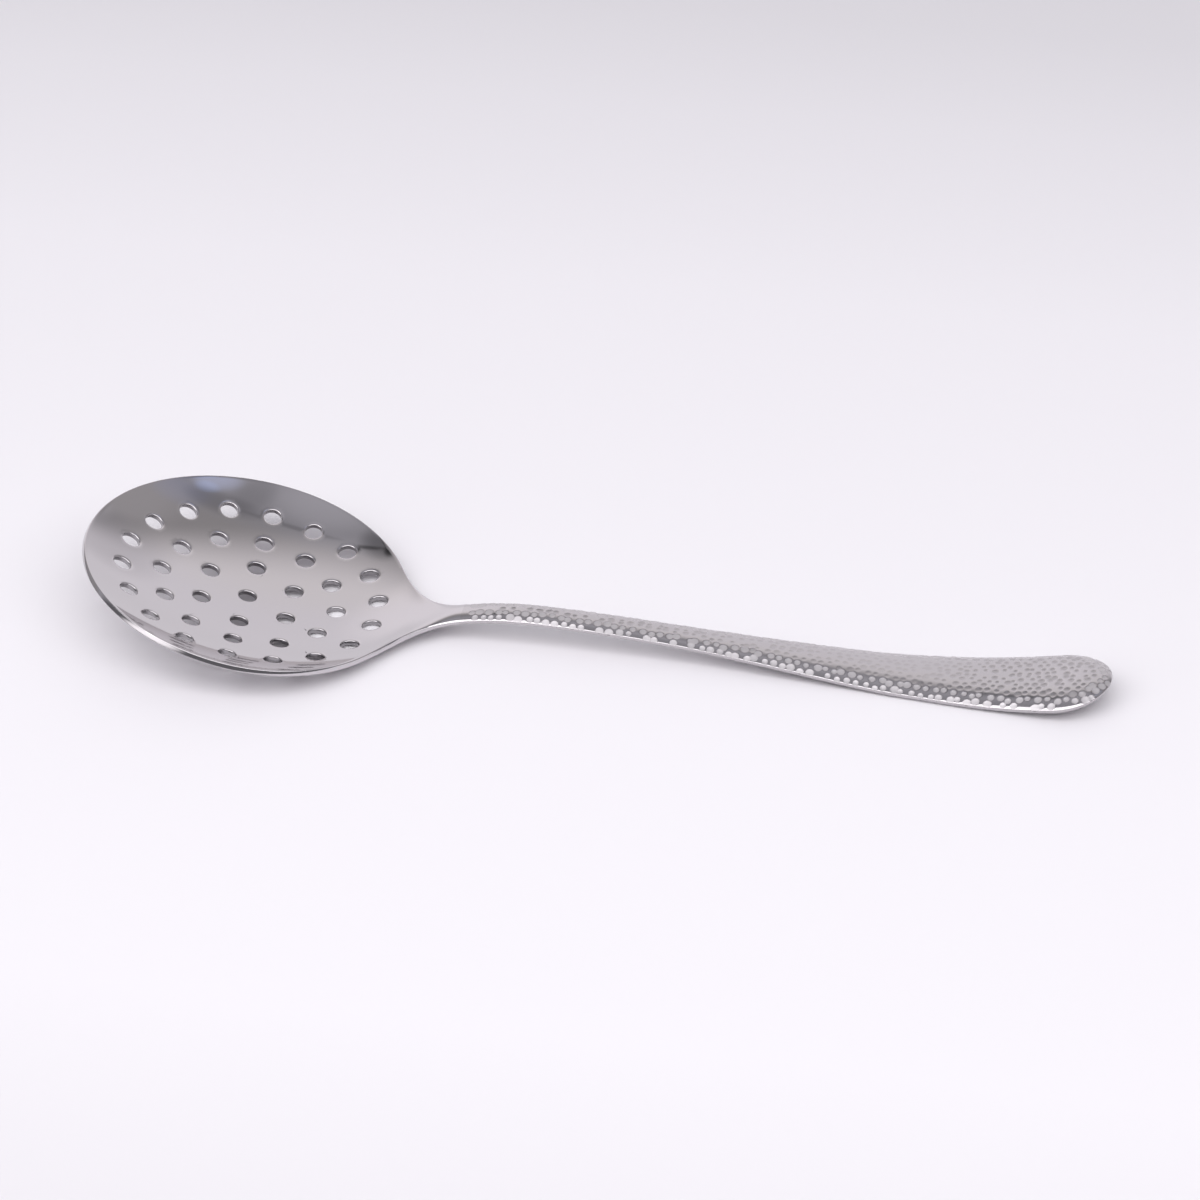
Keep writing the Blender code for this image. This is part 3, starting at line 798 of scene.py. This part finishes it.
def hammer_dents(bm):
    """Sink round dents square to the flat handle's upper side, and mark their floors for dullness and painted
    light.
    """
    layer = bm.verts.layers.float.new(DENT_DULLNESS_AND_PAINTED_LIGHT)
    bm.normal_update()
    upper = [vert for vert in bm.verts if vert.normal.z > HAMMERED_LEAN]
    surface = surface_tree(upper)
    sunk = [0.0] * len(upper)
    dull_and_painted_light = [0.0] * len(upper)
    for reach, aside, radius, deepest, dullest_and_painted_light in dent_places():
        middle = surface.find((reach, aside, handle_top(reach, aside)[0]))[0]
        for _, index, distance in surface.find_range(middle, radius):
            depth = deepest * (1.0 - (distance / radius) ** 2)
            sunk[index] = max(sunk[index], depth)
            inside = dullest_and_painted_light * ease((1.0 - distance / radius) / DENT_RIM)
            dull_and_painted_light[index] = max(dull_and_painted_light[index], inside)
    normals = [vert.normal.copy() for vert in upper]
    for vert, normal, depth, inside in zip(upper, normals, sunk, dull_and_painted_light):
        vert.co -= depth * normal
        vert[layer] = inside


def bend_handle(bm):
    """Bend the flat handle along its side view, and set it on the table."""
    for vert in bm.verts:
        vert.co.z += SIDE(vert.co.x)
        vert.co.x += BOWL_MIDDLE_X


def make_handle(finish):
    bm = bmesh.new()
    bmesh.ops.create_grid(bm, x_segments=HANDLE_ROWS, y_segments=HANDLE_LANES, size=1.0)
    seam_line = min(vert.co.x for vert in bm.verts) + WELD
    seam = {edge for edge in bm.edges if all(vert.co.x < seam_line for vert in edge.verts)}
    open_edges = [edge for edge in bm.edges if edge.is_boundary and edge not in seam]
    for vert in bm.verts:
        reach, aside = handle_place((vert.co.x + 1.0) / 2.0, vert.co.y)
        vert.co = (reach, aside, handle_top(reach, aside)[0])
    close_underside(bm, roll_edges(bm, open_edges, handle_profile))
    close_blank(bm)
    hammer_dents(bm)
    bend_handle(bm)
    return make_piece("handle_hammered", bm, finish)


def add_node(tree, kind, **inputs):
    """Add a shader node; each input is a value or another node's output."""
    node = tree.nodes.new(kind)
    for name, value in inputs.items():
        socket = node.inputs[name.replace("_", " ")]
        if isinstance(value, bpy.types.NodeSocket):
            tree.links.new(value, socket)
        else:
            socket.default_value = value
    return node


def add_math(tree, operation, *values):
    """Add a Math node and return its result."""
    node = tree.nodes.new("ShaderNodeMath")
    node.operation = operation
    for socket, value in zip(node.inputs, values):
        if isinstance(value, bpy.types.NodeSocket):
            tree.links.new(value, socket)
        else:
            socket.default_value = value
    return node.outputs[0]


def add_ramp(tree, place, stops):
    """Add a colour ramp; each stop is a position and a colour."""
    ramp = add_node(tree, "ShaderNodeValToRGB", Fac=place)
    elements = ramp.color_ramp.elements
    while len(elements) < len(stops):
        elements.new(1.0)
    for element, (position, colour) in zip(elements, stops):
        element.position = position
        element.color = (*colour, 1.0)
    return ramp.outputs["Color"]


def start_material(name):
    material = bpy.data.materials.new(name)
    material.use_nodes = True
    return material, material.node_tree, material.node_tree.nodes["Principled BSDF"]


def add_squares(tree, first, second):
    """Add the sum of two squares."""
    return add_math(tree, "ADD", add_math(tree, "MULTIPLY", first, first),
                    add_math(tree, "MULTIPLY", second, second))


def add_noise(tree, place, scale, detail):
    noise = add_node(tree, "ShaderNodeTexNoise", Vector=place, Scale=scale, Detail=detail)
    return noise.outputs["Fac"]


def add_spread(tree, noise, limits):
    """Spread the middle of a noise's values over a range."""
    spread = add_node(tree, "ShaderNodeMapRange", Value=noise, From_Min=NOISE_RANGE[0],
                      From_Max=NOISE_RANGE[1], To_Min=limits[0], To_Max=limits[1])
    return spread.outputs["Result"]


def add_mark(tree, name):
    """Read an attribute that marks a part of the surface."""
    mark = tree.nodes.new("ShaderNodeAttribute")
    mark.attribute_name = name
    return mark.outputs["Fac"]


def finish_steel(tree, shader, roughness, colour, height, strength):
    """Join a steel's roughness, colour and relief to its shader."""
    bump = add_node(tree, "ShaderNodeBump", Height=height, Strength=strength, Distance=BUMP_DEPTH)
    tree.links.new(roughness, shader.inputs["Roughness"])
    tree.links.new(colour, shader.inputs["Base Color"])
    tree.links.new(bump.outputs["Normal"], shader.inputs["Normal"])
    shader.inputs["Metallic"].default_value = 1.0


def make_satin_steel():
    """Pressed dish: polished steel with fine marks of turning round the bowl's axis, and punched holes whose
    walls are darker, partly with painted shade.
    """
    steel, tree, shader = start_material("satin_steel")
    place = add_node(tree, "ShaderNodeTexCoord").outputs["Object"]
    parts = add_node(tree, "ShaderNodeSeparateXYZ", Vector=place)
    ahead = add_math(tree, "SUBTRACT", parts.outputs["X"], BOWL_MIDDLE_X)
    aside = parts.outputs["Y"]
    radius = add_math(tree, "SQRT", add_squares(tree, ahead, aside))
    turn = add_math(tree, "ARCTAN2", aside, ahead)
    rings = add_node(tree, "ShaderNodeCombineXYZ", X=add_math(tree, "MULTIPLY", radius, RING_MARKS),
                     Y=add_math(tree, "MULTIPLY", turn, RING_MARK_TURN))
    marks = add_noise(tree, rings.outputs["Vector"], 1.0, RING_MARK_DETAIL)
    patches = add_noise(tree, place, SATIN_PATCHES, PATCH_DETAIL)
    haze = add_math(tree, "ADD", add_spread(tree, marks, RING_MARK_ROUGHNESS),
                    add_spread(tree, patches, SATIN_ROUGHNESS))
    punched_and_shaded = add_mark(tree, PUNCHED_AND_SHADED)
    roughness = add_math(tree, "MULTIPLY_ADD", punched_and_shaded, PUNCHED_DULLNESS, haze)
    # hole walls darker: partly their own punched steel, partly painted shade
    colour = add_ramp(tree, punched_and_shaded, [(0.0, STEEL_COLOUR), (1.0, PUNCHED_AND_SHADED_COLOUR)])
    finish_steel(tree, shader, roughness, colour, marks, RING_MARK_BUMP)
    return steel


def make_hammered_steel():
    """Hammered handle: a slightly darker and duller steel with a fine grain, and matt floors of the dents,
    with painted shade away from the edges and a painted highlight along them.
    """
    steel, tree, shader = start_material("hammered_steel")
    place = add_node(tree, "ShaderNodeTexCoord").outputs["Object"]
    grain = add_noise(tree, place, GRAIN, GRAIN_DETAIL)
    patches = add_noise(tree, place, HANDLE_PATCHES, PATCH_DETAIL)
    dent_dullness_and_painted_light = add_mark(tree, DENT_DULLNESS_AND_PAINTED_LIGHT)
    haze = add_spread(tree, patches, HANDLE_ROUGHNESS)
    roughness = add_math(tree, "MULTIPLY_ADD", dent_dullness_and_painted_light, DENT_DULLNESS, haze)
    # painted shade on the middle dents' floors, painted highlight on the edge dents' floors
    stops = [(0.0, HANDLE_COLOUR), (MIDDLE_DULL_AND_PAINTED_SHADE, MIDDLE_DENT_PAINTED_SHADE), (1.0, EDGE_DENT_PAINTED_HIGHLIGHT)]
    finish_steel(tree, shader, roughness, add_ramp(tree, dent_dullness_and_painted_light, stops), grain, GRAIN_BUMP)
    return steel


def make_paper():
    """White paper with painted shade from front to back: darker in front, where it cancels the top softbox's
    light, and darker towards the back, where it stands in for the light's fall-off.
    """
    paper, tree, shader = start_material("white_paper_with_painted_shade")
    place = add_node(tree, "ShaderNodeTexCoord").outputs["Object"]
    parts = add_node(tree, "ShaderNodeSeparateXYZ", Vector=place)
    front, back = FLOOR_PAINTED_SHADES[0][0], FLOOR_PAINTED_SHADES[-1][0]
    along = add_node(tree, "ShaderNodeMapRange", Value=parts.outputs["Y"], From_Min=front, From_Max=back)
    stops = []
    for y, shade in FLOOR_PAINTED_SHADES:
        stops.append(((y - front) / (back - front), [shade * tint for tint in FLOOR_TINT]))
    tree.links.new(add_ramp(tree, along.outputs["Result"], stops), shader.inputs["Base Color"])
    shader.inputs["Roughness"].default_value = FLOOR_ROUGHNESS
    shader.inputs["Specular IOR Level"].default_value = 0.0
    return paper


def make_floor():
    bm = bmesh.new()
    bmesh.ops.create_grid(bm, x_segments=1, y_segments=1, size=FLOOR_SIZE / 2.0)
    floor = add_object("table_top", finish_mesh("table_top", bm, make_paper()))


def make_lamp(name, place, size, radiance, mirrored):
    """A softbox that hangs level and shines straight down."""
    lamp = bpy.data.lights.new(name, "AREA")
    lamp.shape = "RECTANGLE"
    lamp.size, lamp.size_y = size
    lamp.energy = radiance * math.pi * size[0] * size[1]
    lamp.color = LAMP_TINT
    box = add_object(name, lamp)
    box.location = place
    box.visible_glossy = mirrored


def add_spot(tree, aside, swing, middle, size):
    """A soft oval in the surroundings: 1 in its middle, 0 from its edge outwards."""
    across = add_math(tree, "DIVIDE", add_math(tree, "SUBTRACT", aside, middle[0]), size[0])
    up = add_math(tree, "DIVIDE", add_math(tree, "SUBTRACT", swing, middle[1]), size[1])
    spot = add_node(tree, "ShaderNodeMapRange", Value=add_squares(tree, across, up), To_Min=1.0, To_Max=0.0)
    spot.interpolation_type = "SMOOTHSTEP"
    return spot.outputs["Result"]


def backdrop_level(tree, aside, swing):
    """Brightness of the backdrop below its rounded upper edge, and of the room above."""
    off_middle = add_math(tree, "SUBTRACT", aside, BACKDROP_MIDDLE)
    sag = add_math(tree, "MULTIPLY", add_math(tree, "MULTIPLY", off_middle, off_middle), BACKDROP_SAG)
    over_edge = add_math(tree, "SUBTRACT", add_math(tree, "ADD", swing, sag), BACKDROP_TOP)
    backdrop = add_node(tree, "ShaderNodeMapRange", Value=over_edge, From_Min=-BACKDROP_BLUR,
                        From_Max=BACKDROP_BLUR, To_Min=BACKDROP_LEVEL, To_Max=ROOM_LEVEL)
    backdrop.interpolation_type = "SMOOTHSTEP"
    level = backdrop.outputs["Result"]
    for middle, size, strength in DARK_PLACES:
        spot = add_spot(tree, aside, swing, middle, size)
        kept = add_math(tree, "MULTIPLY_ADD", spot, -strength, 1.0)
        level = add_math(tree, "MULTIPLY", level, kept)
    return level


def room_colour(tree, swing):
    """Colour of the surroundings from the back over the top to the front."""
    sweep_end = ROOM_SWEEP[-1][0]
    stops = [(angle / sweep_end, [share * part for part in tint]) for angle, share, tint in ROOM_SWEEP]
    return add_ramp(tree, add_math(tree, "DIVIDE", swing, sweep_end), stops)


def make_world():
    """Studio round the table: a bright backdrop, a grey room, and soft dark and bright places in both."""
    world = bpy.data.worlds.new("studio")
    world.use_nodes = True
    bpy.context.scene.world = world
    tree = world.node_tree
    direction = add_node(tree, "ShaderNodeTexCoord").outputs["Generated"]
    parts = add_node(tree, "ShaderNodeSeparateXYZ", Vector=direction)
    swing = add_math(tree, "DEGREES", add_math(tree, "ARCTAN2", parts.outputs["Z"], parts.outputs["Y"]))
    aside = add_math(tree, "DEGREES", add_math(tree, "ARCSINE", parts.outputs["X"]))
    surroundings = tree.nodes["Background"]
    tree.links.new(room_colour(tree, swing), surroundings.inputs["Color"])
    tree.links.new(backdrop_level(tree, aside, swing), surroundings.inputs["Strength"])
    light = surroundings.outputs["Background"]
    for middle, size, colour in BRIGHT_PLACES:
        spot = add_spot(tree, aside, swing, middle, size)
        glow = add_node(tree, "ShaderNodeBackground", Color=(*colour, 1.0), Strength=spot)
        both = tree.nodes.new("ShaderNodeAddShader")
        tree.links.new(light, both.inputs[0])
        tree.links.new(glow.outputs["Background"], both.inputs[1])
        light = both.outputs["Shader"]
    tree.links.new(light, tree.nodes["World Output"].inputs["Surface"])


def make_camera():
    lens = bpy.data.cameras.new("camera")
    lens.sensor_width = SENSOR_WIDTH
    lens.lens = FOCAL_PIXELS / PICTURE_SIZE * SENSOR_WIDTH
    level = math.cos(VIEW_ELEVATION)
    towards = Vector((math.sin(VIEW_AZIMUTH) * level, -math.cos(VIEW_AZIMUTH) * level,
                      math.sin(VIEW_ELEVATION)))
    camera = add_object("camera", lens)
    camera.location = VIEW_TARGET + VIEW_DISTANCE * towards
    camera.rotation_euler = (-towards).to_track_quat("-Z", "Y").to_euler()
    bpy.context.scene.camera = camera


def main():
    bowl = make_bowl(make_satin_steel())
    handle = make_handle(make_hammered_steel())
    for piece, node, slot in ((bowl, "bowl", "satin_steel"), (handle, "handle", "hammered_steel")):
        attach(piece, "root")
        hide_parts(node)
    make_floor()
    make_world()
    for lamp in LAMPS:
        make_lamp(*lamp)
    make_camera()
    bpy.context.scene.view_settings.view_transform = "Standard"


main()
